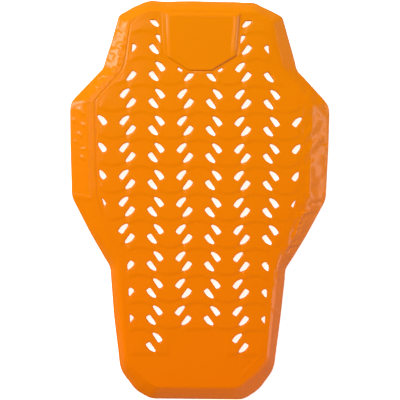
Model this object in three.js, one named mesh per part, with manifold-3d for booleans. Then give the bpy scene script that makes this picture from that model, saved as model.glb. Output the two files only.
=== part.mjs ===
// Back protector insert: one moulded foam pad, bent down round its rim and pierced with teardrop holes.
// It lies with its outer face up. +Y points to the neck end, and z = 0 is the land that it rests on.
import * as THREE from 'three';
import Module from 'manifold-3d';
import { mergeVertices } from 'three/addons/utils/BufferGeometryUtils.js';

// Overall sizes, in millimetres
const LENGTH = 445;
const WING_WIDTH = 290.8;

// Heights above the land
const EDGE_HEIGHT = 4.5;
const FIELD_HEIGHT = 15;
const CROWN = 2.5;
const SHELF_DROP = 1.5;
const HOLLOW_DEPTH = 5.5;

// Rim, land and the corners' rounding
const RIM_WIDTH = 29;
const LAND_WIDTH = 7;
const BEND = 9;

// Raised panel at the neck end
const PANEL_TOP_WIDTH = 89;
const PANEL_LOW_WIDTH = 82.4;
const PANEL_END_WIDTH = 25.6;
const PANEL_SIDE_LENGTH = 48;
const PANEL_POINT_LENGTH = 17.6;
const PANEL_BEVEL = 8.5;
const PANEL_HEIGHT = 1.8;
const PANEL_SETBACK = 0.2;
const PANEL_MARGIN = 2.6;

// Teardrop holes and their pattern: rows of hats and rows of vees share each wave of the pattern
const HOLE_LENGTH = 13.6;
const HOLE_WIDTH = 6;
const HOLE_LEAN = THREE.MathUtils.degToRad(42.5);
const WAVE_PITCH = 64.3;
const HOLE_OFFSET = 12.2;
const ROW_PITCH = 30.26;
const FIRST_ROW_DOWN = 24;
const VEE_RISE = 11.05;
const HOLE_MARGIN = 6;
const ZONE_SLACK = 1.9;
const PANEL_SLACK = 1;
const PLAIN_TAIL_LENGTH = 48;
const TAIL_PATCH_WIDTH = 67;
const TAIL_PATCH_LENGTH = 80;

// Corners of the pad's right half, from the neck end down. across is a share of half the wing width and
// down a share of the length. The rim columns give the field's corner, inward from the outline's, as
// shares of the rim width. shelf is the part of the rim that the steep facet takes. The margin columns
// give the pierced zone's corner, inward from the field's, as shares of the hole margin. bend is the
// corner's rounding, as a share of BEND.
const CORNERS = [
  { name: 'top end', across: 0.416, down: 0, rimAcross: 0.03, rimAlong: 0.44,
    shelf: 0.9, marginAcross: 0.4, marginAlong: 1.5, bend: 0.7 },
  { name: 'shoulder', across: 0.629, down: 0.0364, rimAcross: 0.455, rimAlong: 0.3,
    shelf: 0.75, marginAcross: 0.6, marginAlong: 0.6, bend: 0.4 },
  { name: 'neck', across: 0.748, down: 0.1706, rimAcross: 0.834, rimAlong: -0.03,
    shelf: 0.63, marginAcross: 1.1, marginAlong: 0.1, bend: 0.9 },
  { name: 'wing top', across: 1, down: 0.2589, rimAcross: 0.99, rimAlong: -0.12,
    shelf: 0.66, marginAcross: 0.25, marginAlong: 1, bend: 0.35 },
  { name: 'wing foot', across: 0.978, down: 0.495, rimAcross: 1, rimAlong: -0.05,
    shelf: 0.66, marginAcross: 0.5, marginAlong: -0.6, bend: 0.7 },
  { name: 'flank', across: 0.827, down: 0.5885, rimAcross: 0.66, rimAlong: -0.16,
    shelf: 0.63, marginAcross: 0.5, marginAlong: -0.6, bend: 1 },
  { name: 'waist', across: 0.6775, down: 0.6701, rimAcross: 0.43, rimAlong: -0.25,
    shelf: 0.7, marginAcross: 1.1, marginAlong: -0.4, bend: 0.9 },
  { name: 'tail', across: 0.592, down: 0.9222, rimAcross: 0.31, rimAlong: -0.32,
    shelf: 0.7, marginAcross: 0.7, marginAlong: -0.4, bend: 0.9 },
  { name: 'bottom corner', across: 0.481, down: 0.9737, rimAcross: 0.25, rimAlong: -0.61,
    shelf: 0.85, marginAcross: 0.3, marginAlong: -0.5, bend: 0.9 },
  { name: 'bottom end', across: 0.361, down: 1, rimAcross: 0.22, rimAlong: -0.5,
    shelf: 0.9, marginAcross: 0.3, marginAlong: -0.8, bend: 0.8 },
];

// Corners of one hole in shares of its length and width: along its curved side from the blunt end to the
// tip, then back along its straight side
const HOLE_CORNERS = [
  { along: -0.45, side: 0.25 },
  { along: -0.4, side: 0.41 },
  { along: 0, side: 0.5 },
  { along: 0.13, side: 0.475 },
  { along: 0.25, side: 0.39 },
  { along: 0.52, side: 0.075 },
  { along: 0.55, side: -0.075 },
  { along: 0.5, side: -0.27 },
  { along: 0.08, side: -0.45 },
  { along: -0.355, side: -0.565 },
  { along: -0.41, side: -0.44 },
];

// Rings of the crowned field, as shares of the way out from its middle
const FIELD_RINGS = [0.4, 0.72];
const HOLLOW_REACH = 0.96;

const CUT_HEIGHT = 2 * (FIELD_HEIGHT + CROWN + PANEL_HEIGHT);

const yAt = (down) => LENGTH * (0.5 - down);
const crownAt = (share) => CROWN * (1 - share * share);

// Values of the right half, repeated for a whole loop: down the left side, then up the right
const bothSides = (rightHalf) => [...rightHalf, ...[...rightHalf].reverse()];

// Corner points of one contour, mirrored to a closed loop that runs counter-clockwise seen from above
function mirrored(rightHalf) {
  return bothSides(rightHalf).map((point, index) => {
    const side = index < rightHalf.length ? -1 : 1;
    return new THREE.Vector2(side * point.x, point.y);
  });
}

function outlineCorner(corner) {
  return new THREE.Vector2(corner.across * WING_WIDTH / 2, yAt(corner.down));
}

function rimPoint(corner, share) {
  const point = outlineCorner(corner);
  point.x -= corner.rimAcross * RIM_WIDTH * share;
  point.y -= corner.rimAlong * RIM_WIDTH * share;
  return point;
}

function zoneCorner(corner) {
  const point = rimPoint(corner, 1);
  point.x -= corner.marginAcross * HOLE_MARGIN;
  point.y -= corner.marginAlong * HOLE_MARGIN;
  return point;
}

// Moves each side of a closed loop inward by the same distance and gives the new corners
function inset(loop, distance) {
  return loop.map((point, index) => {
    const before = loop[(index + loop.length - 1) % loop.length];
    const after = loop[(index + 1) % loop.length];
    const inA = inwardNormal(before, point);
    const inB = inwardNormal(point, after);
    const mitre = inA.clone().add(inB).divideScalar(1 + inA.dot(inB));
    return point.clone().addScaledVector(mitre, distance);
  });
}

function inwardNormal(from, to) {
  const along = to.clone().sub(from).normalize();
  return new THREE.Vector2(-along.y, along.x);
}

// Rounds each corner of a closed loop with three points
const POINTS_PER_CORNER = 3;
function rounded(loop) {
  const bends = bothSides(CORNERS.map((corner) => corner.bend * BEND));
  return loop.flatMap((point, index) => {
    const before = loop[(index + loop.length - 1) % loop.length];
    const after = loop[(index + 1) % loop.length];
    const reach = bends[index];
    const start = point.clone().add(before.clone().sub(point).setLength(reach));
    const end = point.clone().add(after.clone().sub(point).setLength(reach));
    const middle = start.clone().add(end).multiplyScalar(0.25).addScaledVector(point, 0.5);
    return [start, middle, end];
  });
}

// A ring is a loop of points with a height for each
const ringAt = (loop, height) => loop.map((point) => new THREE.Vector3(point.x, point.y, height));
const scaledLoop = (loop, share) => loop.map((point) => point.clone().multiplyScalar(share));

// The shelf line's heights follow how much of the rim the gentle shelf takes at each corner
function shelfRing() {
  const widest = Math.max(...CORNERS.map((corner) => 1 - corner.shelf));
  const loop = rounded(mirrored(CORNERS.map((corner) => rimPoint(corner, corner.shelf))));
  const drops = bothSides(CORNERS.map((corner) => SHELF_DROP * (1 - corner.shelf) / widest));
  return loop.map((point, index) => {
    const drop = drops[Math.floor(index / POINTS_PER_CORNER)];
    return new THREE.Vector3(point.x, point.y, FIELD_HEIGHT - drop);
  });
}

// Closed mesh through rings that run from a middle point on top, out and round to one underneath
function loft(topPoint, rings, bottomPoint) {
  const count = rings[0].length;
  const points = [topPoint, ...rings.flat(), bottomPoint];
  const indices = [];
  const at = (ring, step) => 1 + ring * count + (step % count);
  for (let step = 0; step < count; step += 1) {
    indices.push(0, at(0, step), at(0, step + 1));
    for (let ring = 0; ring + 1 < rings.length; ring += 1) {
      indices.push(at(ring, step), at(ring + 1, step), at(ring + 1, step + 1));
      indices.push(at(ring, step), at(ring + 1, step + 1), at(ring, step + 1));
    }
    indices.push(points.length - 1, at(rings.length - 1, step + 1), at(rings.length - 1, step));
  }
  const geometry = new THREE.BufferGeometry();
  geometry.setFromPoints(points);
  geometry.setIndex(indices);
  return geometry;
}

// The pad without panel and holes: crowned field, bent rim, land, and the hollow on the body side
function padGeometry() {
  const corners = mirrored(CORNERS.map(outlineCorner));
  const outline = rounded(corners);
  const field = rounded(mirrored(CORNERS.map((corner) => rimPoint(corner, 1))));
  const land = rounded(inset(corners, LAND_WIDTH));
  const topRings = FIELD_RINGS.map((share) => ringAt(scaledLoop(field, share), FIELD_HEIGHT + crownAt(share)));
  const hollowRings = FIELD_RINGS.map((share) => ringAt(scaledLoop(field, share), HOLLOW_DEPTH + crownAt(share)));
  const rings = [
    ...topRings,
    ringAt(field, FIELD_HEIGHT),
    shelfRing(),
    ringAt(outline, EDGE_HEIGHT),
    ringAt(outline, 0),
    ringAt(land, 0),
    ringAt(scaledLoop(field, HOLLOW_REACH), HOLLOW_DEPTH + crownAt(HOLLOW_REACH)),
    ...hollowRings.reverse(),
  ];
  const middleTop = new THREE.Vector3(0, 0, FIELD_HEIGHT + CROWN);
  const middleBottom = new THREE.Vector3(0, 0, HOLLOW_DEPTH + CROWN);
  return loft(middleTop, rings, middleBottom);
}

// Panel corners on the field, right half from the top down
const topRim = CORNERS[0].rimAlong * RIM_WIDTH;
const panelTopY = LENGTH / 2 - topRim;
const PANEL_CORNERS = [
  new THREE.Vector2(PANEL_TOP_WIDTH / 2, panelTopY),
  new THREE.Vector2(PANEL_LOW_WIDTH / 2, panelTopY - PANEL_SIDE_LENGTH),
  new THREE.Vector2(PANEL_END_WIDTH / 2, panelTopY - PANEL_SIDE_LENGTH - PANEL_POINT_LENGTH),
];

// The panel is a low block with bevelled sides, sunk into the field. Its top side carries on the slope of
// the rim facet, and its other sides have the bevel.
function panelGeometry() {
  const base = mirrored(PANEL_CORNERS);
  const topHeight = FIELD_HEIGHT + CROWN / 2 + PANEL_HEIGHT;
  const sunkHeight = FIELD_HEIGHT - PANEL_HEIGHT;
  const rimRun = topRim / (FIELD_HEIGHT - EDGE_HEIGHT);
  const bevelRun = PANEL_BEVEL / (topHeight - FIELD_HEIGHT);
  const loopAt = (height) => {
    const rise = height - FIELD_HEIGHT;
    const loop = inset(base, rise * bevelRun);
    const slant = (PANEL_TOP_WIDTH - PANEL_LOW_WIDTH) / 2 / PANEL_SIDE_LENGTH;
    const topY = panelTopY - PANEL_SETBACK - rise * rimRun;
    [loop[0], loop[loop.length - 1]].forEach((corner) => {
      const shift = topY - corner.y;
      corner.x += Math.sign(corner.x) * shift * slant;
      corner.y = topY;
    });
    return ringAt(loop, height);
  };
  const rings = [loopAt(topHeight), loopAt(sunkHeight)];
  const middleY = panelTopY - PANEL_SIDE_LENGTH / 2;
  return loft(new THREE.Vector3(0, middleY, topHeight), rings, new THREE.Vector3(0, middleY, sunkHeight));
}

// Outline of one hole about its own middle, blunt end at -x, curved side at +y
function holeShape() {
  return HOLE_CORNERS.map(({ along, side }) => new THREE.Vector2(along * HOLE_LENGTH, side * HOLE_WIDTH));
}

// Places of all holes: each row of hats has its blunt ends up, each row of vees its blunt ends down.
// flip is 1 on the right of a wave's middle and -1 on its left.
function holePlaces() {
  const places = [];
  const waves = Math.ceil(WING_WIDTH / WAVE_PITCH);
  const rows = Math.ceil(LENGTH / ROW_PITCH);
  for (let row = 0; row < rows; row += 1) {
    const hatY = LENGTH / 2 - FIRST_ROW_DOWN - row * ROW_PITCH;
    for (let wave = -waves; wave <= waves; wave += 1) {
      for (const flip of [-1, 1]) {
        const hatX = wave * WAVE_PITCH + flip * HOLE_OFFSET;
        const veeX = (wave + 0.5) * WAVE_PITCH + flip * HOLE_OFFSET;
        places.push({ x: hatX, y: hatY, flip, turned: false });
        places.push({ x: veeX, y: hatY + VEE_RISE, flip, turned: true });
      }
    }
  }
  return places;
}

function holeLoop(place) {
  return holeShape().map((point) => {
    const turned = point.clone();
    turned.y = -turned.y;
    turned.rotateAround(new THREE.Vector2(), -Math.PI / 2 + HOLE_LEAN);
    if (place.turned) {
      turned.multiplyScalar(-1);
    }
    const mirror = place.turned ? -place.flip : place.flip;
    return new THREE.Vector2(place.x + mirror * turned.x, place.y + turned.y);
  });
}

// How far a point lies inside a closed counter-clockwise loop, negative outside it
function depthInside(loop, point) {
  let nearest = Infinity;
  let crossings = 0;
  loop.forEach((from, index) => {
    const to = loop[(index + 1) % loop.length];
    const side = to.clone().sub(from);
    const offset = new THREE.Vector2(point.x, point.y).sub(from);
    const share = THREE.MathUtils.clamp(offset.dot(side) / side.lengthSq(), 0, 1);
    nearest = Math.min(nearest, offset.addScaledVector(side, -share).length());
    if (from.y > point.y !== to.y > point.y) {
      const x = from.x + side.x * (point.y - from.y) / side.y;
      crossings += x > point.x ? 1 : 0;
    }
  });
  return crossings % 2 === 1 ? nearest : -nearest;
}

const zoneLoop = mirrored(CORNERS.map(zoneCorner));
const panelLoop = mirrored(PANEL_CORNERS);

function isKept(place) {
  const inZone = depthInside(zoneLoop, place) > -ZONE_SLACK;
  const offPanel = depthInside(panelLoop, place) < PANEL_SLACK;
  const tailY = -LENGTH / 2;
  const offTail = place.y > tailY + PLAIN_TAIL_LENGTH;
  const inPatch = Math.abs(place.x) < TAIL_PATCH_WIDTH / 2 && place.y < tailY + TAIL_PATCH_LENGTH;
  return inZone && offPanel && offTail && !inPatch;
}

// Upright prism through the whole pad
function prism(loop) {
  const geometry = new THREE.ExtrudeGeometry(new THREE.Shape(loop), { depth: CUT_HEIGHT, bevelEnabled: false });
  geometry.translate(0, 0, -CUT_HEIGHT / 4);
  return geometry;
}

const wasm = await Module();
wasm.setup();

function toSolid(geometry) {
  const bare = geometry.clone();
  bare.deleteAttribute('normal');
  bare.deleteAttribute('uv');
  const merged = mergeVertices(bare);
  return new wasm.Manifold(new wasm.Mesh({
    numProp: 3,
    vertProperties: merged.attributes.position.array,
    triVerts: new Uint32Array(merged.index.array),
  }));
}

function toGeometry(solid) {
  const mesh = solid.getMesh();
  const geometry = new THREE.BufferGeometry();
  geometry.setAttribute('position', new THREE.BufferAttribute(mesh.vertProperties, mesh.numProp));
  geometry.setIndex(new THREE.BufferAttribute(mesh.triVerts, 1));
  geometry.computeVertexNormals();
  return geometry;
}

// Holes are cut off where the pierced zone ends and where the panel begins
function pierced(body) {
  const panelZone = inset(panelLoop, -PANEL_MARGIN);
  const zone = toSolid(prism(zoneLoop)).subtract(toSolid(prism(panelZone)));
  return holePlaces().filter(isKept).reduce((solid, place) => {
    const hole = toSolid(prism(holeLoop(place))).intersect(zone);
    return solid.subtract(hole);
  }, body);
}

const foam = new THREE.MeshStandardMaterial({ color: '#f28202', roughness: 0.55, metalness: 0 });
const body = toSolid(padGeometry()).add(toSolid(panelGeometry()));
const pad = new THREE.Mesh(toGeometry(pierced(body)), foam);
pad.name = 'pad';

const backProtector = new THREE.Group();
backProtector.add(pad);
export default backProtector;
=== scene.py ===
"""Dresses the back protector: a moulded foam pad with bent rim, raised panel and teardrop holes."""
import math

import bpy
import numpy as np
from bpy.props import FloatProperty, FloatVectorProperty, PointerProperty
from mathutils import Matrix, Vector, noise
from mathutils.geometry import delaunay_2d_cdt


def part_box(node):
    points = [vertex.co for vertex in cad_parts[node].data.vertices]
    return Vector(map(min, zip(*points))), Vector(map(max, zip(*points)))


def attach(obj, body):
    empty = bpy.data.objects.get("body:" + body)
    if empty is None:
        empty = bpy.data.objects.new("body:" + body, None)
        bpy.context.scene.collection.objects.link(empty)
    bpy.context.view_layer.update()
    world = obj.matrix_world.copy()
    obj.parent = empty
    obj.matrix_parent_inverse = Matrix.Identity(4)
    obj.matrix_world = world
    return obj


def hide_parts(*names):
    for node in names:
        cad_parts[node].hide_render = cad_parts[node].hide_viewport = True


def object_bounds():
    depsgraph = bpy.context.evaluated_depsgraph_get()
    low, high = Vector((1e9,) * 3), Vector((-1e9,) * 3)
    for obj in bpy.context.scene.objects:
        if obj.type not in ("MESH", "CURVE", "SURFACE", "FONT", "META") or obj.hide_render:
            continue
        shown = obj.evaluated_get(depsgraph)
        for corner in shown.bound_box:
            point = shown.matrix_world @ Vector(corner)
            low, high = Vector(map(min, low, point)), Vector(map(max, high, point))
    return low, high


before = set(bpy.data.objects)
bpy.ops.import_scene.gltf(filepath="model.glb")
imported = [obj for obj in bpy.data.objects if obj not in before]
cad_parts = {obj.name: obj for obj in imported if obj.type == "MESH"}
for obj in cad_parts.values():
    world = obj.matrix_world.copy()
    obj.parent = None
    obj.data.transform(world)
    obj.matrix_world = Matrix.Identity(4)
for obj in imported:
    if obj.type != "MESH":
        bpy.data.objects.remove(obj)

bl_info = {
    "name": "Back protector",
    "version": (1, 0, 0),
    "blender": (4, 5, 0),
    "location": "View3D > Sidebar > Pad",
    "description": "Moulded foam back protector with teardrop air holes",
    "category": "Object",
}

CAD_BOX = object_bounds()
PAD_LOW, PAD_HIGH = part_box("pad")
MM = 0.001

# Corners of the pad's right half, from the neck end down. across is a share of half the wing width and
# down a share of the length. The rim columns give the field's corner, inward from the outline's, as
# shares of the rim width, and shelf is the part of the rim that the steep facet takes. The margin
# columns give the pierced zone's corner, as shares of the hole margin. bend is the corner's rounding.
CORNER_COLUMNS = ("name", "across", "down", "rim_across", "rim_along", "shelf", "margin_across",
                  "margin_along", "bend")
CORNER_ROWS = (
    ("top end", 0.416, 0, 0.03, 0.44, 0.9, 0.4, 1.5, 0.7),
    ("shoulder", 0.629, 0.0364, 0.455, 0.3, 0.75, 0.6, 0.6, 0.4),
    ("neck", 0.748, 0.1706, 0.834, -0.03, 0.63, 1.1, 0.1, 0.9),
    ("wing top", 1, 0.2589, 0.99, -0.12, 0.66, 0.25, 1, 0.35),
    ("wing foot", 0.978, 0.495, 1, -0.05, 0.66, 0.5, -0.6, 0.7),
    ("flank", 0.827, 0.5885, 0.66, -0.16, 0.63, 0.5, -0.6, 1),
    ("waist", 0.6775, 0.6701, 0.43, -0.25, 0.7, 1.1, -0.4, 0.9),
    ("tail", 0.592, 0.9222, 0.31, -0.32, 0.7, 0.7, -0.4, 0.9),
    ("bottom corner", 0.481, 0.9737, 0.25, -0.61, 0.85, 0.3, -0.5, 0.9),
    ("bottom end", 0.361, 1, 0.22, -0.5, 0.9, 0.3, -0.8, 0.8),
)
CORNERS = [dict(zip(CORNER_COLUMNS, row)) for row in CORNER_ROWS]

# How worn the rim is at each corner, on the left and on the right: crisp is 1 for a sharp bend and 0 for
# a soft roll, groove is the line round the field and crinkle the puckered skin.
WEAR_COLUMNS = ("crisp_left", "groove_left", "crinkle_left", "crisp_right", "groove_right", "crinkle_right")
WEAR_ROWS = (
    (0.7, 0, 0, 0.7, 0, 0),
    (1, 0.6, 0.8, 0.8, 0, 0.2),
    (1, 1, 1.4, 0.8, 0.2, 0.6),
    (1, 1, 0.1, 1, 0.15, 1.6),
    (0.9, 0.8, 0.05, 1, 0.2, 1.7),
    (0.1, 0.1, 0.02, 1, 0.1, 2),
    (0, 0, 0.02, 1, 0, 1.8),
    (0, 0, 0.02, 1, 0, 0.2),
    (0.2, 0, 0.05, 1, 0, 0.1),
    (0.6, 0, 0, 0.8, 0, 0),
)
WEAR = [dict(zip(WEAR_COLUMNS, row)) for row in WEAR_ROWS]

# Where the outline of this pad swells or shrinks by about a millimetre: the place's x and y, the amount
# and the reach
SWELLS = (
    (-75, 213, 0.7, 9), (-54, 222.5, 0.5, 4), (-38, 222.5, -0.5, 9), (-8, 222.5, 0.4, 16),
    (50, 222.5, -0.6, 10), (68, 219, -0.7, 8), (-100, 178, -0.6, 14), (-109, 147, -0.7, 5),
    (109, 147, -0.9, 6), (-145, 107, -0.9, 5), (145, 107, -1.1, 6), (-145, 60, 0.4, 30),
    (145, 60, 0.5, 30), (-98, -76, -0.7, 6), (98, -76, -1, 7), (-92, -130, 1, 32),
    (91, -130, 0.4, 32), (-80, -195, 1, 10), (-66, -212, 0.8, 9),
)

# Small folds and dents pressed into the skin: two ends, height and half width in millimetres
FOLDS = (
    ((-133.5, 100), (-131, 95), 0.9, 2.4),
    ((-140.5, 89), (-140, 87), 0.5, 1.2),
    ((-130, 83.5), (-129, 82), 0.65, 1.6),
    ((-134.5, 73), (-133, 71), 0.8, 1.6),
    ((-139, 64.5), (-138, 64), 0.45, 1.2),
    ((-131, 55.5), (-127, 56.5), 0.5, 1.1),
    ((-131, 47), (-129, 45), 0.75, 1.8),
    ((-136.5, 26.5), (-136, 27), 0.35, 1),
    ((-127.5, 27), (-127, 27.5), 0.4, 0.9),
    ((-129.5, 109), (-128, 107), 0.6, 1.8),
    ((-141, 4), (-121.5, 1), 0.9, 1.5),
    ((-102.5, 139), (-97.5, 139.5), 0.6, 1.5),
    ((-120, 124), (-113, 129), 0.4, 1.2),
    ((-127, 137), (-121, 143), 0.5, 1.6),
    ((141, 0.5), (125.5, -3), -0.9, 1.2),
    ((133.5, 70), (137, 65.5), -0.8, 1),
    ((137, 65.5), (141, 64), -0.8, 1),
    ((113.5, -25.5), (118, -19.5), -1, 1.1),
    ((104.5, -34.5), (113.5, -31), -1.2, 1.2),
    ((107, -41), (117, -38.5), 1, 1.2),
    ((99, -56.5), (104.5, -51), -1, 1.2),
    ((116.5, -14), (124.5, -10.5), 1, 1.3),
    ((109, -48), (100, -50), 0.8, 1.2),
    ((121, -20), (113, -23), 0.8, 1.2),
    ((98, -63.5), (102.5, -61), 0.6, 1.8),
    ((96, -72.5), (100.5, -77), -0.6, 1.5),
    ((72.5, -172), (63.5, -181), 0.45, 1.1),
    ((58, -184.5), (50.5, -195.5), 0.5, 1.1),
    ((59.5, -180.5), (52, -189.5), -0.6, 1),
    ((46.5, -172.5), (46.5, -183.5), -0.35, 0.8),
    ((-47, -173.5), (-47, -183.5), -0.25, 0.8),
    ((114, 111), (115, 110), -0.3, 0.9),
    ((115.5, 81), (117, 73), -0.25, 0.9),
)

# Corners of one hole in shares of its length and width: along its curved side from the blunt end to the
# tip, then back along its straight side
HOLE_CORNERS = (
    (-0.45, 0.25), (-0.42, 0.39), (-0.25, 0.455), (0, 0.5), (0.13, 0.475), (0.25, 0.39), (0.41, 0.235),
    (0.52, 0.075), (0.55, -0.075), (0.51, -0.26), (0.41, -0.345), (0.08, -0.45), (-0.25, -0.54),
    (-0.355, -0.565), (-0.41, -0.44),
)

# How far a hole's middle may lie outside the pierced zone and inside the panel, the points of a hole, how
# often a whole and a cut outline are smoothed, and the shares across the rounded edge where rings stand
ZONE_SLACK = 1.9
PANEL_SLACK = 1
HOLE_POINTS = 28
CUT_SAMPLES = 60
WHOLE_SMOOTHING = 2
CUT_SMOOTHING = 1
LIP_STEPS = (0, 0.13, 0.4, 1)

# Rows of points on the rim. The edge's foot is given as insets and heights, its head as insets and drops
# from the edge height, and the two facets as shares of their widths.
RIM_STEP = 1.25
ARC_STEPS = 6
EDGE_ROUNDING = 1.2
EDGE_FOOT = ((1.1, 0), (0.35, 0.25), (0, 0.95))
EDGE_HEAD = ((0, 0.75), (0.3, 0.12))
FACET_SHARES = (0, 0.05, 0.12, 0.2, 0.28, 0.36, 0.44, 0.52, 0.6, 0.68, 0.76, 0.84, 0.91, 0.96, 1)
SHELF_SHARES = (0.08, 0.25, 0.45, 0.65, 0.8, 0.9, 0.96, 1)
ROLL_POWER = 0.9

# The line round the field: how far it reaches, and the mesh lines inside the field that carry it
GROOVE_REACH = 0.8
FIELD_INSETS = (0.4, 0.9, 1.6, 2.5)

# Puckered skin: size and sharpness of its plates on the left and on the right, then the size, width and
# patches of its folds
FINE_PLATES = (6.5, 6)
BROAD_PLATES = (10, 2.5)
CREASE_CELL = 9
CREASE_WIDTH = 0.16
CREASE_PATCH = 12
PATCH_LAYER = 5
PATCH_CONTRAST = 3
CRINKLE_FADE = 4

# For each side of the panel from the left one round to the right one: share of the height that the step
# at its foot takes, the share that the ledge behind it reaches, the ledge's end, and how far and where
# the edge stands proud of the top
PANEL_SIDE_COLUMNS = ("step", "ledge", "reach", "proud", "peak")
PANEL_SIDE_ROWS = (
    (0.12, 0.25, 4.6, 0, 2),
    (0.6, 0.9, 7.5, 0.15, 1.3),
    (0.9, 1, 7.5, 0.45, 1.3),
    (0.8, 0.95, 7, 0.4, 1.3),
    (0.7, 1, 4, 0.75, 4.2),
)
PANEL_SIDES = [dict(zip(PANEL_SIDE_COLUMNS, row)) for row in PANEL_SIDE_ROWS]
PANEL_STEP_RUN = 1.2
PANEL_PROUD_END = 8
PANEL_DIP = 0.25
PANEL_DIP_WIDTH = 0.8
PANEL_TOP_SLACK = 1
PANEL_INSETS = (-0.25, 0, 0.25, 1, 1.2, 1.45, 2.6, 4.1, 4.6, 5.3, 7.8, 8.5, 9)
PANEL_LINE_STEP = 1.2
LINE_CLEARANCE = 0.3

# Low waves: their arcs' sag and places as shares of the row pitch, the length of a drop, and how the
# waves fade out beside a column, at the panel, at the tail patch and at the plain tail
WAVE_SAG = 0.17
HAT_ARC_RISE = 0.645
VEE_ARC_DROP = 0.33
WAVE_STEP = 1.2
WAVE_FADE = 1.5
PANEL_FADE = 2
PATCH_FADE = 3
TAIL_FADE = 4

# Body side: where its slope ends as a share of the way to the field's edge, how round the slope is, the
# mesh lines along it, and how much coarser its mesh is
HOLLOW_REACH = 0.96
UNDER_ROUNDING = 0.5
LAND_SHARES = (0.03, 0.1, 0.2, 0.35)
BODY_COARSENESS = 2

# The flat meshing: free space round a fixed point as a share of the mesh step, the distance at which two
# points are one for the triangles, and the distance at which two are welded
GRID_CLEARANCE = 0.55
JOIN_DISTANCE = 1e-6
WELD = 0.002

# Skin of the foam: the patches of colour, the grain and the gloss
PATCH_SCALE = 14
PATCH_SHARE = 0.3
GRAIN_SCALE = 700
GRAIN_STRENGTH = 0.25
GRAIN_DEPTH = 0.1 * MM
NOISE_DETAIL = 3
GLOSS_LEVEL = 0.8

# The point that the camera looks down on, in metres, and the camera's own sizes
AIM = (1.4 * MM, 0.3 * MM, 12 * MM)
SENSOR_WIDTH = 36
CLIP_END = 50

# The floor's half width in metres, its shade and roughness, and its gap below the pad
FLOOR_HALF = 3
FLOOR_SHADE = 0.9
FLOOR_ROUGHNESS = 0.9
FLOOR_GAP = 0.1 * MM

# The room's bright side: its direction, where its glow begins and is full, and the glow
BRIGHT_SIDE = (0.82, -0.57, 0)
GLOW_START = 0.3
GLOW_FULL = 0.8
GLOW_STRENGTH = 0.45

# Softboxes round the pad: place in metres from its middle, size, power in watts, colour and gloss. A box
# without gloss leaves hardly any reflection on the skin.
LIGHTS = (
    ("key_softbox", (-1.4, 1.6, 3.5), (2.6, 2.6), 203.0, (1, 1, 1), False),
    ("warm_softbox", (1.9, -1.2, 0.6), (1.2, 0.8), 4.5, (1, 0.2, 0.02), False),
    ("right_softbox", (1.0, 0.0, 0.85), (0.9, 0.3), 0.9, (1, 1, 1), True),
    ("left_softbox", (-1.2, 0.42, 0.45), (0.45, 0.5), 2.1, (1, 1, 1), True),
    ("glint_softbox", (-0.98, 0.5, 0.77), (0.3, 0.3), 0.4, (1, 1, 1), True),
)


def size_of(name, description, millimetres):
    """A length that a user can change, with its default given in millimetres."""
    return FloatProperty(name=name, description=description, default=millimetres * MM, unit="LENGTH")


class PadSizes(bpy.types.PropertyGroup):
    """Sizes of the moulded pad that a user would change."""

    wing_width: size_of("Wing width", "Width across the wings, before rounding", 290.8)
    edge_height: size_of("Edge height", "Thickness of the rim at the outline", 4.5)
    field_height: size_of("Field height", "Height of the outer face where the rim begins", 15)
    crown: size_of("Crown", "Rise of the outer face towards its middle", 2.5)
    shelf_drop: size_of("Shelf drop", "Fall of the gentle inner part of the rim", 1.5)
    hollow_depth: size_of("Hollow depth", "Depth of the hollow on the body side", 5.5)
    rim_width: size_of("Rim width", "Width of the rim at the wings", 29)
    land_width: size_of("Land width", "Width of the flat land that the pad rests on", 7)
    bend: size_of("Corner rounding", "How far a corner's rounding reaches", 9)
    panel_top_width: size_of("Panel top width", "Width of the raised panel at the rim", 89)
    panel_low_width: size_of("Panel low width", "Width of the panel where its point begins", 82.4)
    panel_end_width: size_of("Panel end width", "Width of the panel's blunt point", 25.6)
    panel_side_length: size_of("Panel side length", "Length of the panel's straight sides", 48)
    panel_point_length: size_of("Panel point length", "Length of the panel's point", 17.6)
    panel_bevel: size_of("Panel bevel", "Width of the panel's sloping side", 8.5)
    panel_height: size_of("Panel height", "Rise of the panel over the field", 1.8)
    hole_length: size_of("Hole length", "Length of one teardrop hole", 13.6)
    hole_width: size_of("Hole width", "Width of one teardrop hole", 6)
    hole_lean: FloatProperty(name="Hole lean", description="Angle of the holes from the spine",
                             default=math.radians(42.5), unit="ROTATION")
    hole_lip: size_of("Hole lip", "Rounding of the holes' edges", 0.8)
    wave_pitch: size_of("Wave pitch", "Width of one wave of the hole pattern", 64.3)
    hole_offset: size_of("Hole offset", "Distance of a hole from its wave's middle", 12.2)
    row_pitch: size_of("Row pitch", "Distance between rows of like holes", 30.26)
    first_row_down: size_of("First row", "Distance of the first row from the neck end", 24)
    vee_rise: size_of("Vee rise", "How far the rows of vees lie above the rows of hats", 11.05)
    hole_margin: size_of("Hole margin", "Plain margin between the holes and the rim", 6)
    panel_margin: size_of("Panel margin", "Plain margin between the holes and the panel", 2.6)
    plain_tail: size_of("Plain tail", "Length of the tail below the last hole", 48)
    patch_width: size_of("Tail patch width", "Width of the plain patch on the tail", 67)
    patch_length: size_of("Tail patch length", "Length of the plain patch on the tail", 80)
    wave_relief: size_of("Wave relief", "Height of the low moulded waves", 0.7)
    groove_depth: size_of("Groove depth", "Depth of the line round the field", 0.9)
    crinkle_height: size_of("Crinkle height", "Height of the creases on the rim", 0.36)
    mesh_step: size_of("Mesh step", "Distance between the points of the outer face", 2)


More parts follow.
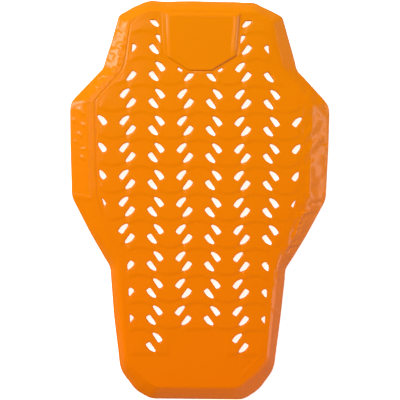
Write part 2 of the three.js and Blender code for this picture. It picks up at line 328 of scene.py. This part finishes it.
class PadFinish(bpy.types.PropertyGroup):
    """Colours and surface of the foam; the neck and tail colours carry painted shade."""

    # Painted shade: the neck colour is the lit foam and the tail colour is the same foam darker and redder.
    # Together they stand in for the light falling off down the pad.
    lit_neck_colour: FloatVectorProperty(name="Neck colour", description="Colour of the foam at the neck end",
                                     subtype="COLOR", size=3, default=(0.82, 0.234, 0.001), min=0, max=1)
    shaded_tail_colour: FloatVectorProperty(name="Tail colour", description="Colour of the foam at the tail",
                                     subtype="COLOR", size=3, default=(0.88, 0.183, 0.001), min=0, max=1)
    roughness: FloatProperty(name="Roughness", description="Roughness of the foam skin",
                             subtype="FACTOR", default=0.17, min=0, max=1)


class StageSettings(bpy.types.PropertyGroup):
    """Camera framing and studio light."""

    frame_width: size_of("Frame width", "Width that the picture covers at the pad", 446.7)
    roll: FloatProperty(name="Roll", description="Turn of the pad in the picture, clockwise",
                        default=math.radians(0.62), unit="ROTATION")
    lens: FloatProperty(name="Lens", description="Focal length in millimetres", default=250, unit="CAMERA")
    floor_glow: FloatProperty(name="Floor glow", description="Light that the white floor adds by itself",
                              default=0.8, min=0)


class Form:
    """The pad's shape in millimetres: its contours, and the height of both faces at any point."""

    def __init__(self, sizes):
        for name in PadSizes.__annotations__:
            value = getattr(sizes, name)
            setattr(self, name, value if name == "hole_lean" else value / MM)
        self.half_width = self.wing_width / 2
        self.length = (PAD_HIGH.y - PAD_LOW.y) / MM
        self.counts = None
        self.outline = swollen(self.contour(0))
        self.outline_in = inward(self.outline)
        self.shelf = self.contour("shelf")
        self.field = self.contour(1)
        self.field_in = inward(self.field)
        self.land = self.outline + self.outline_in * self.land_width
        self.zone = mirrored([self.zone_corner(corner) for corner in CORNERS])
        top_y = self.length / 2 - CORNERS[0]["rim_along"] * self.rim_width
        self.panel_top_y = top_y
        self.panel = mirrored([
            (self.panel_top_width / 2, top_y),
            (self.panel_low_width / 2, top_y - self.panel_side_length),
            (self.panel_end_width / 2, top_y - self.panel_side_length - self.panel_point_length),
        ])

    def rim_point(self, corner, share):
        x = corner["across"] * self.half_width - corner["rim_across"] * self.rim_width * share
        y = self.length * (0.5 - corner["down"]) - corner["rim_along"] * self.rim_width * share
        return x, y

    def zone_corner(self, corner):
        x, y = self.rim_point(corner, 1)
        return x - corner["margin_across"] * self.hole_margin, y - corner["margin_along"] * self.hole_margin

    def contour(self, share):
        """A dense closed loop at a share of the way across the rim; all loops match point by point."""
        shares = [corner[share] if isinstance(share, str) else share for corner in CORNERS]
        corners = mirrored([self.rim_point(corner, part) for corner, part in zip(CORNERS, shares)])
        bends = both_sides([corner["bend"] * self.bend for corner in CORNERS])
        if self.counts is None:
            ahead = np.roll(corners, -1, axis=0)
            lengths = np.linalg.norm(ahead - corners, axis=1) - bends - np.roll(bends, -1)
            self.counts = np.maximum(2, np.round(lengths / RIM_STEP)).astype(int)
            self.corner_places = self.loop_places(corners)
        points = []
        for index, corner in enumerate(corners):
            before = corners[index - 1]
            after = corners[(index + 1) % len(corners)]
            start = corner + unit(before - corner) * bends[index]
            end = corner + unit(after - corner) * bends[index]
            for t in np.linspace(0, 1, ARC_STEPS + 1):
                points.append(start * (1 - t) ** 2 + corner * 2 * t * (1 - t) + end * t ** 2)
            following = (index + 1) % len(corners)
            stop = after + unit(corner - after) * bends[following]
            for t in np.linspace(0, 1, self.counts[index] + 1)[1:-1]:
                points.append(end * (1 - t) + stop * t)
        return np.array(points)

    def loop_places(self, corners):
        """For each point of a dense loop, the corner number that it stands at, with a share to the next."""
        places = []
        for index in range(len(corners)):
            places += [float(index)] * (ARC_STEPS + 1)
            places += [index + t for t in np.linspace(0, 1, self.counts[index] + 1)[1:-1]]
        return np.array(places)

    def along_loop(self, rows, left, right):
        """One number for each point of a dense loop, from a column for each side of the pad."""
        values = [row[left] for row in rows] + [row[right] for row in rows][::-1]
        return np.interp(self.corner_places, range(len(values) + 1), values + values[:1])

    def wear(self, name):
        return self.along_loop(WEAR, name + "_left", name + "_right")

    def crown_at(self, points):
        """Rise of the crowned field: full in its middle, none at its edge."""
        share = np.minimum(np.linalg.norm(points, axis=1) / radius_at(self.field, points), 1)
        return self.crown * (1 - share ** 2)

    def panel_rise(self, points):
        """A step all round, then a flat top; its low and right edges stand a little proud."""
        full = self.panel_height + self.crown / 2 - self.crown_at(points)
        lowest_top = self.panel_top_y - PANEL_TOP_SLACK
        ends = zip(self.panel, np.roll(self.panel, -1, axis=0))
        ends = [(start, end) for start, end in ends if min(start[1], end[1]) < lowest_top]
        rise = np.full(len(points), np.inf)
        lift = np.zeros(len(points))
        depths = []
        for (start, end), side in zip(ends, PANEL_SIDES):
            along = unit(end - start)
            depth = (points - start) @ np.array([-along[1], along[0]])
            reach, ledge, peak = side["reach"], side["ledge"], side["peak"]
            bevel = np.clip((depth - reach) / (self.panel_bevel - reach), 0, 1)
            foot = full * np.interp(depth, (0, PANEL_STEP_RUN, reach), (0, side["step"], ledge))
            rise = np.minimum(rise, foot + full * (1 - ledge) * bevel)
            crest = np.interp(depth, (peak / 2, peak, PANEL_PROUD_END), (0, 1, 0))
            lift = np.maximum(lift, side["proud"] * crest)
            depths.append(depth)
        deepest = np.min(depths, axis=0)
        rise += lift * np.clip(deepest / PANEL_STEP_RUN, 0, 1)
        rise -= PANEL_DIP * np.exp(-((depths[0] - PANEL_SIDES[0]["reach"]) / PANEL_DIP_WIDTH) ** 2)
        rim_slope = (self.field_height - self.edge_height) / (CORNERS[0]["rim_along"] * self.rim_width)
        limit = (self.panel_top_y - points[:, 1]) * rim_slope
        return np.where(deepest > 0, np.clip(np.minimum(rise, limit), 0, None), 0)

    def waves(self, points):
        """Low scales between the holes: each ramps up down the back and drops at an arc."""
        quarter = self.wave_pitch / 4
        column = np.round(points[:, 0] / (2 * quarter))
        across = (points[:, 0] - column * 2 * quarter) / quarter
        hat = np.mod(column, 2) == 0
        first = self.length / 2 - self.first_row_down
        sag = WAVE_SAG * self.row_pitch
        crest = first + HAT_ARC_RISE * self.row_pitch - sag * across ** 2
        trough = first - VEE_ARC_DROP * self.row_pitch + sag * across ** 2
        place = (np.where(hat, crest, trough) - points[:, 1]) / self.row_pitch
        share = np.mod(place, 1)
        drop = WAVE_STEP / self.row_pitch
        ramp = np.clip(share / (1 - drop), 0, 1)
        saw = np.where(share > 1 - drop, (1 - share) / drop, ramp)
        fade = np.clip(WAVE_FADE - WAVE_FADE * np.abs(across) ** 4, 0, 1)
        return self.wave_relief * saw * fade

    def wave_mask(self, points):
        """1 in the pierced zone, 0 on the panel, the tail patch and the plain tail."""
        zone = np.clip(depth_inside(self.zone, points) / self.hole_margin + 0.5, 0, 1)
        panel = np.clip(-depth_inside(self.panel, points) / PANEL_FADE, 0, 1)
        low = -self.length / 2
        in_patch = np.minimum(
            np.clip((low + self.patch_length - points[:, 1]) / PATCH_FADE, 0, 1),
            np.clip((self.patch_width / 2 - np.abs(points[:, 0])) / PATCH_FADE, 0, 1))
        tail = np.clip((points[:, 1] - low - self.plain_tail) / TAIL_FADE, 0, 1)
        return zone * panel * (1 - in_patch) * tail

    def top(self, points):
        """Height of the outer face inside the field."""
        height = self.field_height + self.crown_at(points) + self.panel_rise(points)
        height += self.waves(points) * self.wave_mask(points)
        return height + folds_at(points)

    def under(self, points):
        """Height of the body side inside the land: a slope up into the hollow."""
        land = radius_at(self.land, points)
        slope_end = HOLLOW_REACH * radius_at(self.field, points)
        radius = np.linalg.norm(points, axis=1)
        share = np.clip((land - radius) / np.maximum(land - slope_end, 1), 0, 1)
        smooth = share * share * (3 - 2 * share) * UNDER_ROUNDING + share * (1 - UNDER_ROUNDING)
        return smooth * self.hollow_depth + self.crown_at(points) * np.clip(smooth * 2 - 1, 0, 1)


def radius_at(loop, points):
    """Distance from the pad's middle to a closed loop, in the direction of each point."""
    angles = np.arctan2(loop[:, 1], loop[:, 0])
    order = np.argsort(angles)
    radii = np.linalg.norm(loop, axis=1)
    towards = np.arctan2(points[:, 1], points[:, 0])
    return np.interp(towards, angles[order], radii[order], period=2 * math.pi)


def swollen(loop):
    """The outline with its small swells and dents."""
    out = -inward(loop)
    amount = np.zeros(len(loop))
    for x, y, swell, reach in SWELLS:
        amount += swell * np.exp(-np.sum((loop - (x, y)) ** 2, axis=1) / reach ** 2)
    return loop + out * amount[:, None]


def folds_at(points):
    """Height that the small folds and dents add at each point."""
    height = np.zeros(len(points))
    for start, end, rise, width in FOLDS:
        start, side = np.array(start), np.subtract(end, start)
        offset = points - start
        share = np.clip(offset @ side / (side @ side), 0, 1)
        distance = np.linalg.norm(offset - share[:, None] * side, axis=1)
        height += rise * np.exp(-(distance / width) ** 2)
    return height


def both_sides(values):
    return np.array(list(values) + list(values)[::-1])


def mirrored(right_half):
    """Closed counter-clockwise loop from the points of the right half: down the left, up the right."""
    right = np.array(right_half, dtype=float)
    return np.vstack([right * (-1, 1), right[::-1]])


def unit(vector):
    return vector / np.linalg.norm(vector)


def inward(loop):
    """Unit normals that point into a closed counter-clockwise loop, one for each point."""
    along = np.roll(loop, -1, axis=0) - np.roll(loop, 1, axis=0)
    along /= np.linalg.norm(along, axis=1)[:, None]
    return np.column_stack([-along[:, 1], along[:, 0]])


def depth_inside(loop, points):
    """Distance from each point to a closed loop, negative outside it."""
    nearest = np.full(len(points), np.inf)
    inside = np.zeros(len(points), dtype=bool)
    for start, end in zip(loop, np.roll(loop, -1, axis=0)):
        side = end - start
        offset = points - start
        share = np.clip(offset @ side / (side @ side), 0, 1)
        nearest = np.minimum(nearest, np.linalg.norm(offset - share[:, None] * side, axis=1))
        crosses = (start[1] > points[:, 1]) != (end[1] > points[:, 1])
        if side[1] != 0:
            x = start[0] + side[0] * (points[:, 1] - start[1]) / side[1]
            inside ^= crosses & (x > points[:, 0])
    return np.where(inside, nearest, -nearest)


def resampled(loop, count):
    """A closed loop with evenly spaced points."""
    closed = np.vstack([loop, loop[:1]])
    lengths = np.concatenate([[0], np.cumsum(np.linalg.norm(np.diff(closed, axis=0), axis=1))])
    at = np.linspace(0, lengths[-1], count, endpoint=False)
    return np.column_stack([np.interp(at, lengths, closed[:, axis]) for axis in (0, 1)])


def smoothed(loop, turns):
    for _ in range(turns):
        loop = loop / 2 + (np.roll(loop, 1, axis=0) + np.roll(loop, -1, axis=0)) / 4
    return loop


def clipped(loop, start, end):
    """The part of a loop on the left of the line from start to end."""
    side = end - start
    result = []
    for a, b in zip(loop, np.roll(loop, -1, axis=0)):
        over_a = side[0] * (a - start)[1] - side[1] * (a - start)[0]
        over_b = side[0] * (b - start)[1] - side[1] * (b - start)[0]
        if over_a >= 0:
            result.append(a)
        if (over_a >= 0) != (over_b >= 0):
            result.append(a + (b - a) * over_a / (over_a - over_b))
    return np.array(result)


def crosses_loop(loop, start, end):
    """True if the segment from start to end passes through a closed loop's inside."""
    samples = np.linspace(start, end, CUT_SAMPLES)
    return (depth_inside(loop, samples) > 0).any()


def hole_shape(form):
    """One whole hole, lying along X round its own middle."""
    corners = np.array(HOLE_CORNERS) * (form.hole_length, -form.hole_width)
    return smoothed(resampled(corners, 2 * HOLE_POINTS), WHOLE_SMOOTHING)


def hole_loops(form):
    """Outline of each hole, cut off where the pierced zone ends and where the panel begins."""
    shape = hole_shape(form)
    angle = form.hole_lean - math.pi / 2
    turn = np.array([[math.cos(angle), math.sin(angle)], [-math.sin(angle), math.cos(angle)]])
    hat = shape @ turn
    vee = -hat
    waves = math.ceil(form.half_width * 2 / form.wave_pitch)
    rows = math.ceil(form.length / form.row_pitch)
    panel_edge = outset_corners(form.panel, form.panel_margin)
    loops = []
    for row in range(rows):
        hat_y = form.length / 2 - form.first_row_down - row * form.row_pitch
        for wave in range(-waves, waves + 1):
            for flip in (-1, 1):
                hat_x = wave * form.wave_pitch + flip * form.hole_offset
                vee_x = (wave + 0.5) * form.wave_pitch + flip * form.hole_offset
                for base, mirror, x, y in ((hat, flip, hat_x, hat_y),
                                           (vee, -flip, vee_x, hat_y + form.vee_rise)):
                    if is_kept(form, x, y):
                        loops.append(cut_hole(form, base * (mirror, 1) + (x, y), panel_edge))
    return loops


def outset_corners(loop, distance):
    """Moves each side of a closed loop outward by the same distance."""
    result = []
    for index, point in enumerate(loop):
        to_here = unit(point - loop[index - 1])
        from_here = unit(loop[(index + 1) % len(loop)] - point)
        out_a = np.array([to_here[1], -to_here[0]])
        out_b = np.array([from_here[1], -from_here[0]])
        result.append(point + (out_a + out_b) / (1 + out_a @ out_b) * distance)
    return np.array(result)


def is_kept(form, x, y):
    """True where a hole with its middle at x and y belongs to the pattern."""
    place = np.array([[x, y]])
    low = -form.length / 2
    in_zone = depth_inside(form.zone, place)[0] > -ZONE_SLACK
    off_panel = depth_inside(form.panel, place)[0] < PANEL_SLACK
    off_tail = y > low + form.plain_tail
    in_patch = abs(x) < form.patch_width / 2 and y < low + form.patch_length
    return in_zone and off_panel and off_tail and not in_patch


def cut_hole(form, loop, panel_edge):
    """A hole's outline, counter-clockwise and without what lies past the zone's or the panel's sides."""
    if signed_area(loop) < 0:
        loop = loop[::-1]
    cut = False
    for start, end in zip(form.zone, np.roll(form.zone, -1, axis=0)):
        if crosses_loop(loop, start, end):
            loop = clipped(loop, start, end)
            cut = True
    for start, end in zip(panel_edge, np.roll(panel_edge, -1, axis=0)):
        if crosses_loop(loop, start, end):
            loop = clipped(loop, end, start)
            cut = True
    return smoothed(resampled(loop, HOLE_POINTS), CUT_SMOOTHING if cut else 0)


def signed_area(loop):
    ahead = np.roll(loop, -1, axis=0)
    return 0.5 * np.sum(loop[:, 0] * ahead[:, 1] - ahead[:, 0] * loop[:, 1])


class Skin:
    """Collects patches of faces and welds them into one closed mesh."""

    def __init__(self):
        self.points = []
        self.faces = []
        self.count = 0

    def add(self, points, faces):
        self.points.append(points)
        self.faces.append(np.asarray(faces) + self.count)
        self.count += len(points)

    def add_rows(self, rows):
        """Closed bands between rows of matching points."""
        count = len(rows[0])
        step = np.arange(count)
        ahead = (step + 1) % count
        faces = []
        for row in range(len(rows) - 1):
            low, high = row * count, (row + 1) * count
            faces.append(np.column_stack([low + step, low + ahead, high + ahead]))
            faces.append(np.column_stack([low + step, high + ahead, high + step]))
        self.add(np.vstack(rows), np.vstack(faces))

    def mesh(self, name):
        points = np.vstack(self.points)
        faces = np.vstack(self.faces)
        keys = np.round(points / WELD).astype(np.int64)
        _, first, place = np.unique(keys, axis=0, return_index=True, return_inverse=True)
        place = place.reshape(-1)
        faces = place[faces]
        faces = faces[np.all(faces != np.roll(faces, 1, axis=1), axis=1)]
        used, faces = np.unique(faces, return_inverse=True)
        mesh = bpy.data.meshes.new(name)
        mesh.from_pydata((points[first[used]] * MM).tolist(), [], faces.reshape(-1, 3).tolist())
        mesh.validate()
        mesh.shade_smooth()
        return mesh


def with_height(loop, heights):
    return np.column_stack([loop, np.broadcast_to(heights, len(loop))])


def crinkle_at(points):
    """Puckered skin: flat plates a step apart, finer and broken by short sharp folds on the left."""
    result = np.empty(len(points))
    for index, (x, y) in enumerate(points):
        cell, sharpness = FINE_PLATES if x < 0 else BROAD_PLATES
        result[index] = math.tanh(sharpness * noise.noise(Vector((x / cell, y / cell, 0))))
        if x < 0:
            result[index] -= crease_at(x, y)
    return result


def crease_at(x, y):
    """Depth of a sharp fold, from 0 to 1, in patches of a net of folds."""
    near = noise.voronoi(Vector((x / CREASE_CELL, y / CREASE_CELL, 0)))[0]
    patch = noise.noise(Vector((x / CREASE_PATCH, y / CREASE_PATCH, PATCH_LAYER)))
    depth = math.exp(-((near[1] - near[0]) / CREASE_WIDTH) ** 2)
    return depth * min(max(patch * PATCH_CONTRAST, 0), 1)


def rim_rows(form):
    """Rows of points on the bent rim, from the rounded edge in to the field's boundary."""
    shelf_share = 1 - form.along_loop(CORNERS, "shelf", "shelf")
    shelf_height = form.field_height - form.shelf_drop * shelf_share / shelf_share.max()
    widths = np.linalg.norm(form.field - form.outline, axis=1)
    facet = np.linalg.norm(form.shelf - form.outline, axis=1) / widths
    crisp = form.wear("crisp")
    groove = form.wear("groove") * form.groove_depth
    crinkle = form.wear("crinkle") * form.crinkle_height
    lip = EDGE_ROUNDING / widths
    places = [lip + (facet - lip) * share for share in FACET_SHARES]
    places += [facet + (1 - facet) * share for share in SHELF_SHARES]
    rows = []
    for place in places:
        inner = np.clip((place - facet) / (1 - facet), 0, 1)[:, None]
        outer = np.clip(place / facet, 0, 1)[:, None]
        on_shelf = form.shelf + (form.field - form.shelf) * inner
        on_facet = form.outline + (form.shelf - form.outline) * outer
        loop = np.where(place[:, None] > facet[:, None], on_shelf, on_facet)
        bent = form.edge_height + (shelf_height - form.edge_height) * outer[:, 0]
        bent += (form.field_height - shelf_height) * inner[:, 0]
        roll = np.sin(place * math.pi / 2) ** ROLL_POWER
        rolled = form.edge_height + (form.field_height - form.edge_height) * roll
        height = bent * crisp + rolled * (1 - crisp)
        past_edge = np.clip(place / lip - 1, 0, 1)
        strength = past_edge * np.clip((1 - place) * CRINKLE_FADE, 0, 1)
        height += crinkle * strength * crinkle_at(loop) + folds_at(loop) * past_edge
        height -= groove * np.exp(-((1 - place) * widths / GROOVE_REACH) ** 2)
        rows.append(with_height(loop, height))
    return rows


def edge_rows(form, first_row):
    """Rows round the thin outer edge, from the body side's land up to the rim."""
    profile = [(form.land_width, 0), *EDGE_FOOT]
    profile += [(inset, form.edge_height - drop) for inset, drop in EDGE_HEAD]
    rows = [with_height(form.outline + form.outline_in * inset, height) for inset, height in profile]
    return rows + [first_row]


def lip_ring(form, hole, heights, sign, step):
    """A ring of a hole's rounded edge, from the hole's wall at step 0 to the face at step 1."""
    ring = hole - inward(hole) * form.hole_lip * step
    drop = form.hole_lip * (1 - math.sqrt(1 - (1 - step) ** 2))
    return with_height(ring, heights(ring) - sign * drop)


def lip_outlines(form, holes):
    """Where the rounded edge of each hole meets the face."""
    return [hole - inward(hole) * form.hole_lip for hole in holes]


def filled(boundary, holes, features, step):
    """Flat triangles between a boundary and hole loops, through feature lines and a grid of points."""
    low, high = boundary.min(axis=0), boundary.max(axis=0)
    grid = []
    for index, y in enumerate(np.arange(low[1], high[1], step * math.sqrt(3) / 2)):
        xs = np.arange(low[0] + (index % 2) * step / 2, high[0], step)
        grid.append(np.column_stack([xs, np.full(len(xs), y)]))
    grid = np.vstack(grid)
    fixed = np.vstack([boundary] + holes + features)
    grid = grid[far_from(grid, fixed, step * GRID_CLEARANCE)]
    grid = grid[depth_inside(boundary, grid) > 0]
    grid = grid[~in_any(holes, grid)]
    points = np.vstack([fixed, grid])
    edges = []
    for loop in [boundary] + holes:
        start, count = len(edges), len(loop)
        edges += [(start + k, start + (k + 1) % count) for k in range(count)]
    places = [Vector(point) for point in points]
    _, _, faces, sources, _, _ = delaunay_2d_cdt(places, edges, [], 0, JOIN_DISTANCE)
    faces = np.array([[sources[vertex][0] for vertex in face] for face in faces])
    rounded = points.astype(np.float32).astype(float)
    middles = rounded[faces].mean(axis=1)
    stops = np.cumsum([len(loop) for loop in [boundary] + holes])
    rounded_edge, *rounded_holes, _ = np.split(rounded, stops)
    keep = (depth_inside(rounded_edge, middles) > 0) & ~in_any(rounded_holes, middles)
    return points, faces[keep]


def in_any(holes, points):
    """True for each point that lies in one of the hole loops."""
    result = np.zeros(len(points), dtype=bool)
    for hole in holes:
        middle = hole.mean(axis=0)
        reach = np.linalg.norm(hole - middle, axis=1).max()
        near = np.linalg.norm(points - middle, axis=1) < reach
        result[near] |= depth_inside(hole, points[near]) > 0
    return result


def far_from(points, fixed, distance):
    """True for each point with no fixed point within a distance."""
    taken = {}
    for x, y in fixed:
        taken.setdefault((int(x // distance), int(y // distance)), []).append((x, y))
    result = np.ones(len(points), dtype=bool)
    for index, (x, y) in enumerate(points):
        i, j = int(x // distance), int(y // distance)
        for di in (-1, 0, 1):
            for dj in (-1, 0, 1):
                for fx, fy in taken.get((i + di, j + dj), ()):
                    if (fx - x) ** 2 + (fy - y) ** 2 < distance ** 2:
                        result[index] = False
    return result


def outer_face(form, skin, holes, field_row):
    """The crowned field with its panel, low waves and rounded hole edges."""
    lips = lip_outlines(form, holes)
    features = [form.field + form.field_in * inset for inset in FIELD_INSETS]
    points, faces = filled(form.field, lips, features + panel_lines(form), form.mesh_step)
    heights = form.top(points)
    heights[:len(field_row)] = field_row[:, 2]
    groove = form.wear("groove") * form.groove_depth
    start = len(field_row) + sum(len(lip) for lip in lips)
    for inset in FIELD_INSETS:
        heights[start:start + len(groove)] -= groove * np.exp(-(inset / GROOVE_REACH) ** 2)
        start += len(groove)
    skin.add(np.column_stack([points, heights]), faces)


def panel_lines(form):
    """Points along the panel's sides, at its foot and where its slopes meet."""
    lines = []
    for inset in PANEL_INSETS:
        corners = outset_corners(form.panel, -inset)
        line = []
        for start, end in zip(corners, np.roll(corners, -1, axis=0)):
            if min(start[1], end[1]) > form.panel_top_y - inset - PANEL_TOP_SLACK:
                continue
            count = max(2, int(np.linalg.norm(end - start) / PANEL_LINE_STEP))
            line.append(start + (end - start) * np.linspace(0, 1, count)[:, None])
        line = np.vstack(line)
        line = line[line[:, 1] < form.panel_top_y - PANEL_TOP_SLACK]
        lines.append(line[far_from_itself(line)])
    return lines


def far_from_itself(line):
    """True for each point that is clear of all points before it."""
    keep = np.ones(len(line), dtype=bool)
    for index in range(1, len(line)):
        keep[index] = np.linalg.norm(line[:index] - line[index], axis=1).min() > LINE_CLEARANCE
    return keep


def body_face(form, skin, holes):
    """The face on the body side: a slope from the land up into a shallow hollow."""
    lips = lip_outlines(form, holes)
    features = [form.land + (form.field - form.land) * share for share in LAND_SHARES]
    points, faces = filled(form.land, lips, features, form.mesh_step * BODY_COARSENESS)
    heights = form.under(points)
    heights[:len(form.land)] = 0
    skin.add(np.column_stack([points, heights]), faces[:, ::-1])


def hole_walls(form, skin, holes):
    """The wall of each hole with its two rounded edges."""
    for hole in holes:
        rows = [lip_ring(form, hole, form.top, 1, step) for step in LIP_STEPS[::-1]]
        rows += [lip_ring(form, hole, form.under, -1, step) for step in LIP_STEPS]
        skin.add_rows(rows)


def settings(name):
    return getattr(bpy.context.scene, name)


class PAD_OT_moulded(bpy.types.Operator):
    """Builds the moulded foam pad in place of the plain solid."""

    bl_idname = "back_protector.moulded_pad"
    bl_label = "Moulded pad"

    def execute(self, context):
        form = Form(settings("pad_sizes"))
        holes = hole_loops(form)
        skin = Skin()
        rim = rim_rows(form)
        skin.add_rows(edge_rows(form, rim[0]))
        skin.add_rows(rim)
        outer_face(form, skin, holes, rim[-1])
        body_face(form, skin, holes)
        hole_walls(form, skin, holes)
        pad = bpy.data.objects.new("moulded_pad", skin.mesh("moulded_pad"))
        context.scene.collection.objects.link(pad)
        pad.data.materials.append(foam_material(settings("pad_finish")))
        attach(pad, "root")
        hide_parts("pad")
        return {"FINISHED"}


class NodeSheet:
    """Short ways to add and join shader nodes."""

    def __init__(self, owner):
        owner.use_nodes = True
        self.tree = owner.node_tree
        self.tree.nodes.clear()

    def add(self, kind, **values):
        node = self.tree.nodes.new(kind)
        for name, value in values.items():
            if name in node.inputs:
                node.inputs[name].default_value = value
            else:
                setattr(node, name, value)
        return node

    def join(self, start, end):
        self.tree.links.new(start, end)


def foam_material(finish):
    """Orange foam with a fine grained skin, random patches of tone, and painted shade that turns it darker
    and redder towards the tail.
    """
    material = bpy.data.materials.new("foam_skin")
    sheet = NodeSheet(material)
    place = sheet.add("ShaderNodeTexCoord").outputs["Object"]
    patches = sheet.add("ShaderNodeTexNoise", Scale=PATCH_SCALE, Detail=NOISE_DETAIL)
    sheet.join(place, patches.inputs["Vector"])
    axes = sheet.add("ShaderNodeSeparateXYZ")
    sheet.join(place, axes.inputs["Vector"])
    # Painted shade: the base colour runs from the neck colour to the tail colour down the pad, standing in
    # for the light falling off. Random patches of tone are laid over it.
    down = sheet.add("ShaderNodeMapRange")
    down.inputs["From Min"].default_value = PAD_HIGH.y
    down.inputs["From Max"].default_value = PAD_LOW.y
    sheet.join(axes.outputs["Y"], down.inputs["Value"])
    tone_and_painted_falloff = sheet.add("ShaderNodeMath", operation="MULTIPLY_ADD")
    tone_and_painted_falloff.inputs[1].default_value = PATCH_SHARE
    sheet.join(patches.outputs["Fac"], tone_and_painted_falloff.inputs[0])
    sheet.join(down.outputs["Result"], tone_and_painted_falloff.inputs[2])
    shift = sheet.add("ShaderNodeMath", operation="SUBTRACT")
    shift.inputs[1].default_value = PATCH_SHARE / 2
    sheet.join(tone_and_painted_falloff.outputs["Value"], shift.inputs[0])
    colour = sheet.add("ShaderNodeMix", data_type="RGBA")
    mix_a, mix_b = [socket for socket in colour.inputs if socket.type == "RGBA"]
    mix_a.default_value = (*finish.lit_neck_colour, 1)
    mix_b.default_value = (*finish.shaded_tail_colour, 1)
    sheet.join(shift.outputs["Value"], colour.inputs["Factor"])
    grain = sheet.add("ShaderNodeTexNoise", Scale=GRAIN_SCALE, Detail=NOISE_DETAIL)
    sheet.join(place, grain.inputs["Vector"])
    bump = sheet.add("ShaderNodeBump", Strength=GRAIN_STRENGTH, Distance=GRAIN_DEPTH)
    sheet.join(grain.outputs["Fac"], bump.inputs["Height"])
    shader = sheet.add("ShaderNodeBsdfPrincipled", Roughness=finish.roughness)
    shader.inputs["Specular IOR Level"].default_value = GLOSS_LEVEL
    result = [socket for socket in colour.outputs if socket.type == "RGBA"][0]
    sheet.join(result, shader.inputs["Base Color"])
    sheet.join(bump.outputs["Normal"], shader.inputs["Normal"])
    output = sheet.add("ShaderNodeOutputMaterial")
    sheet.join(shader.outputs["BSDF"], output.inputs["Surface"])
    return material


class PAD_OT_stage(bpy.types.Operator):
    """Adds the camera, the white floor and the studio light."""

    bl_idname = "back_protector.stage"
    bl_label = "Stage and light"

    def execute(self, context):
        stage = settings("pad_stage")
        add_camera(context.scene, stage)
        add_floor(context.scene, stage)
        for light in LIGHTS:
            add_softbox(context.scene, *light)
        add_studio(context.scene)
        context.scene.view_settings.view_transform = "Standard"
        return {"FINISHED"}


def add_camera(scene, stage):
    """A long lens straight above the pad."""
    data = bpy.data.cameras.new("camera")
    data.lens = stage.lens
    data.sensor_width = SENSOR_WIDTH
    data.clip_end = CLIP_END
    camera = bpy.data.objects.new("camera", data)
    distance = stage.frame_width / data.sensor_width * stage.lens
    camera.location = (AIM[0], AIM[1], AIM[2] + distance)
    camera.rotation_euler = (0, 0, stage.roll)
    scene.collection.objects.link(camera)
    scene.camera = camera


def add_studio(scene):
    """A dim room with one bright side, low at the front right."""
    scene.world = bpy.data.worlds.new("studio")
    sheet = NodeSheet(scene.world)
    way = sheet.add("ShaderNodeTexCoord").outputs["Generated"]
    facing = sheet.add("ShaderNodeVectorMath", operation="DOT_PRODUCT")
    facing.inputs[1].default_value = BRIGHT_SIDE
    sheet.join(way, facing.inputs[0])
    glow = sheet.add("ShaderNodeMapRange")
    glow.inputs["From Min"].default_value = GLOW_START
    glow.inputs["From Max"].default_value = GLOW_FULL
    glow.inputs["To Max"].default_value = GLOW_STRENGTH
    sheet.join(facing.outputs["Value"], glow.inputs["Value"])
    background = sheet.add("ShaderNodeBackground")
    sheet.join(glow.outputs["Result"], background.inputs["Strength"])
    output = sheet.add("ShaderNodeOutputWorld")
    sheet.join(background.outputs["Background"], output.inputs["Surface"])


def add_floor(scene, stage):
    """A white floor that glows a little, just below the pad."""
    mesh = bpy.data.meshes.new("floor")
    low = min(CAD_BOX[0].z, 0) - FLOOR_GAP
    signs = ((-1, -1), (1, -1), (1, 1), (-1, 1))
    mesh.from_pydata([(x * FLOOR_HALF, y * FLOOR_HALF, low) for x, y in signs], [], [(0, 1, 2, 3)])
    floor = bpy.data.objects.new("floor", mesh)
    scene.collection.objects.link(floor)
    material = bpy.data.materials.new("white_floor")
    sheet = NodeSheet(material)
    shader = sheet.add("ShaderNodeBsdfPrincipled", Roughness=FLOOR_ROUGHNESS)
    shader.inputs["Base Color"].default_value = (FLOOR_SHADE, FLOOR_SHADE, FLOOR_SHADE, 1)
    shader.inputs["Specular IOR Level"].default_value = 0
    shader.inputs["Emission Color"].default_value = (1, 1, 1, 1)
    shader.inputs["Emission Strength"].default_value = stage.floor_glow
    output = sheet.add("ShaderNodeOutputMaterial")
    sheet.join(shader.outputs["BSDF"], output.inputs["Surface"])
    mesh.materials.append(material)
    floor.visible_glossy = False


def add_softbox(scene, name, place, size, power, colour, gloss):
    """A rectangular light that faces the pad's middle."""
    data = bpy.data.lights.new(name, "AREA")
    data.shape = "RECTANGLE"
    data.size, data.size_y = size
    data.energy = power
    data.color = colour
    light = bpy.data.objects.new(name, data)
    light.location = place
    light.visible_glossy = gloss
    light.rotation_euler = (-Vector(place)).to_track_quat("-Z", "Y").to_euler()
    scene.collection.objects.link(light)


class PAD_PT_panel(bpy.types.Panel):
    """Lists the pad's sizes, finish and stage with the buttons that build them."""

    bl_label = "Back protector"
    bl_idname = "PAD_PT_panel"
    bl_space_type = "VIEW_3D"
    bl_region_type = "UI"
    bl_category = "Pad"

    def draw(self, context):
        for name, kind, operators in PANEL_PARTS:
            box = self.layout.box()
            group = getattr(context.scene, name)
            for field in kind.__annotations__:
                box.prop(group, field)
            for operator in operators:
                box.operator(operator)


PANEL_PARTS = (
    ("pad_stage", StageSettings, ("back_protector.stage",)),
    ("pad_finish", PadFinish, ()),
    ("pad_sizes", PadSizes, ("back_protector.moulded_pad",)),
)
CLASSES = (PadSizes, PadFinish, StageSettings, PAD_OT_stage, PAD_OT_moulded, PAD_PT_panel)


def register():
    for item in CLASSES:
        bpy.utils.register_class(item)
    for name, kind, _ in PANEL_PARTS:
        setattr(bpy.types.Scene, name, PointerProperty(type=kind))


def unregister():
    for name, _, _ in PANEL_PARTS:
        delattr(bpy.types.Scene, name)
    for item in reversed(CLASSES):
        bpy.utils.unregister_class(item)


def main():
    register()
    bpy.ops.back_protector.stage()
    bpy.ops.back_protector.moulded_pad()


if __name__ == "__main__":
    main()
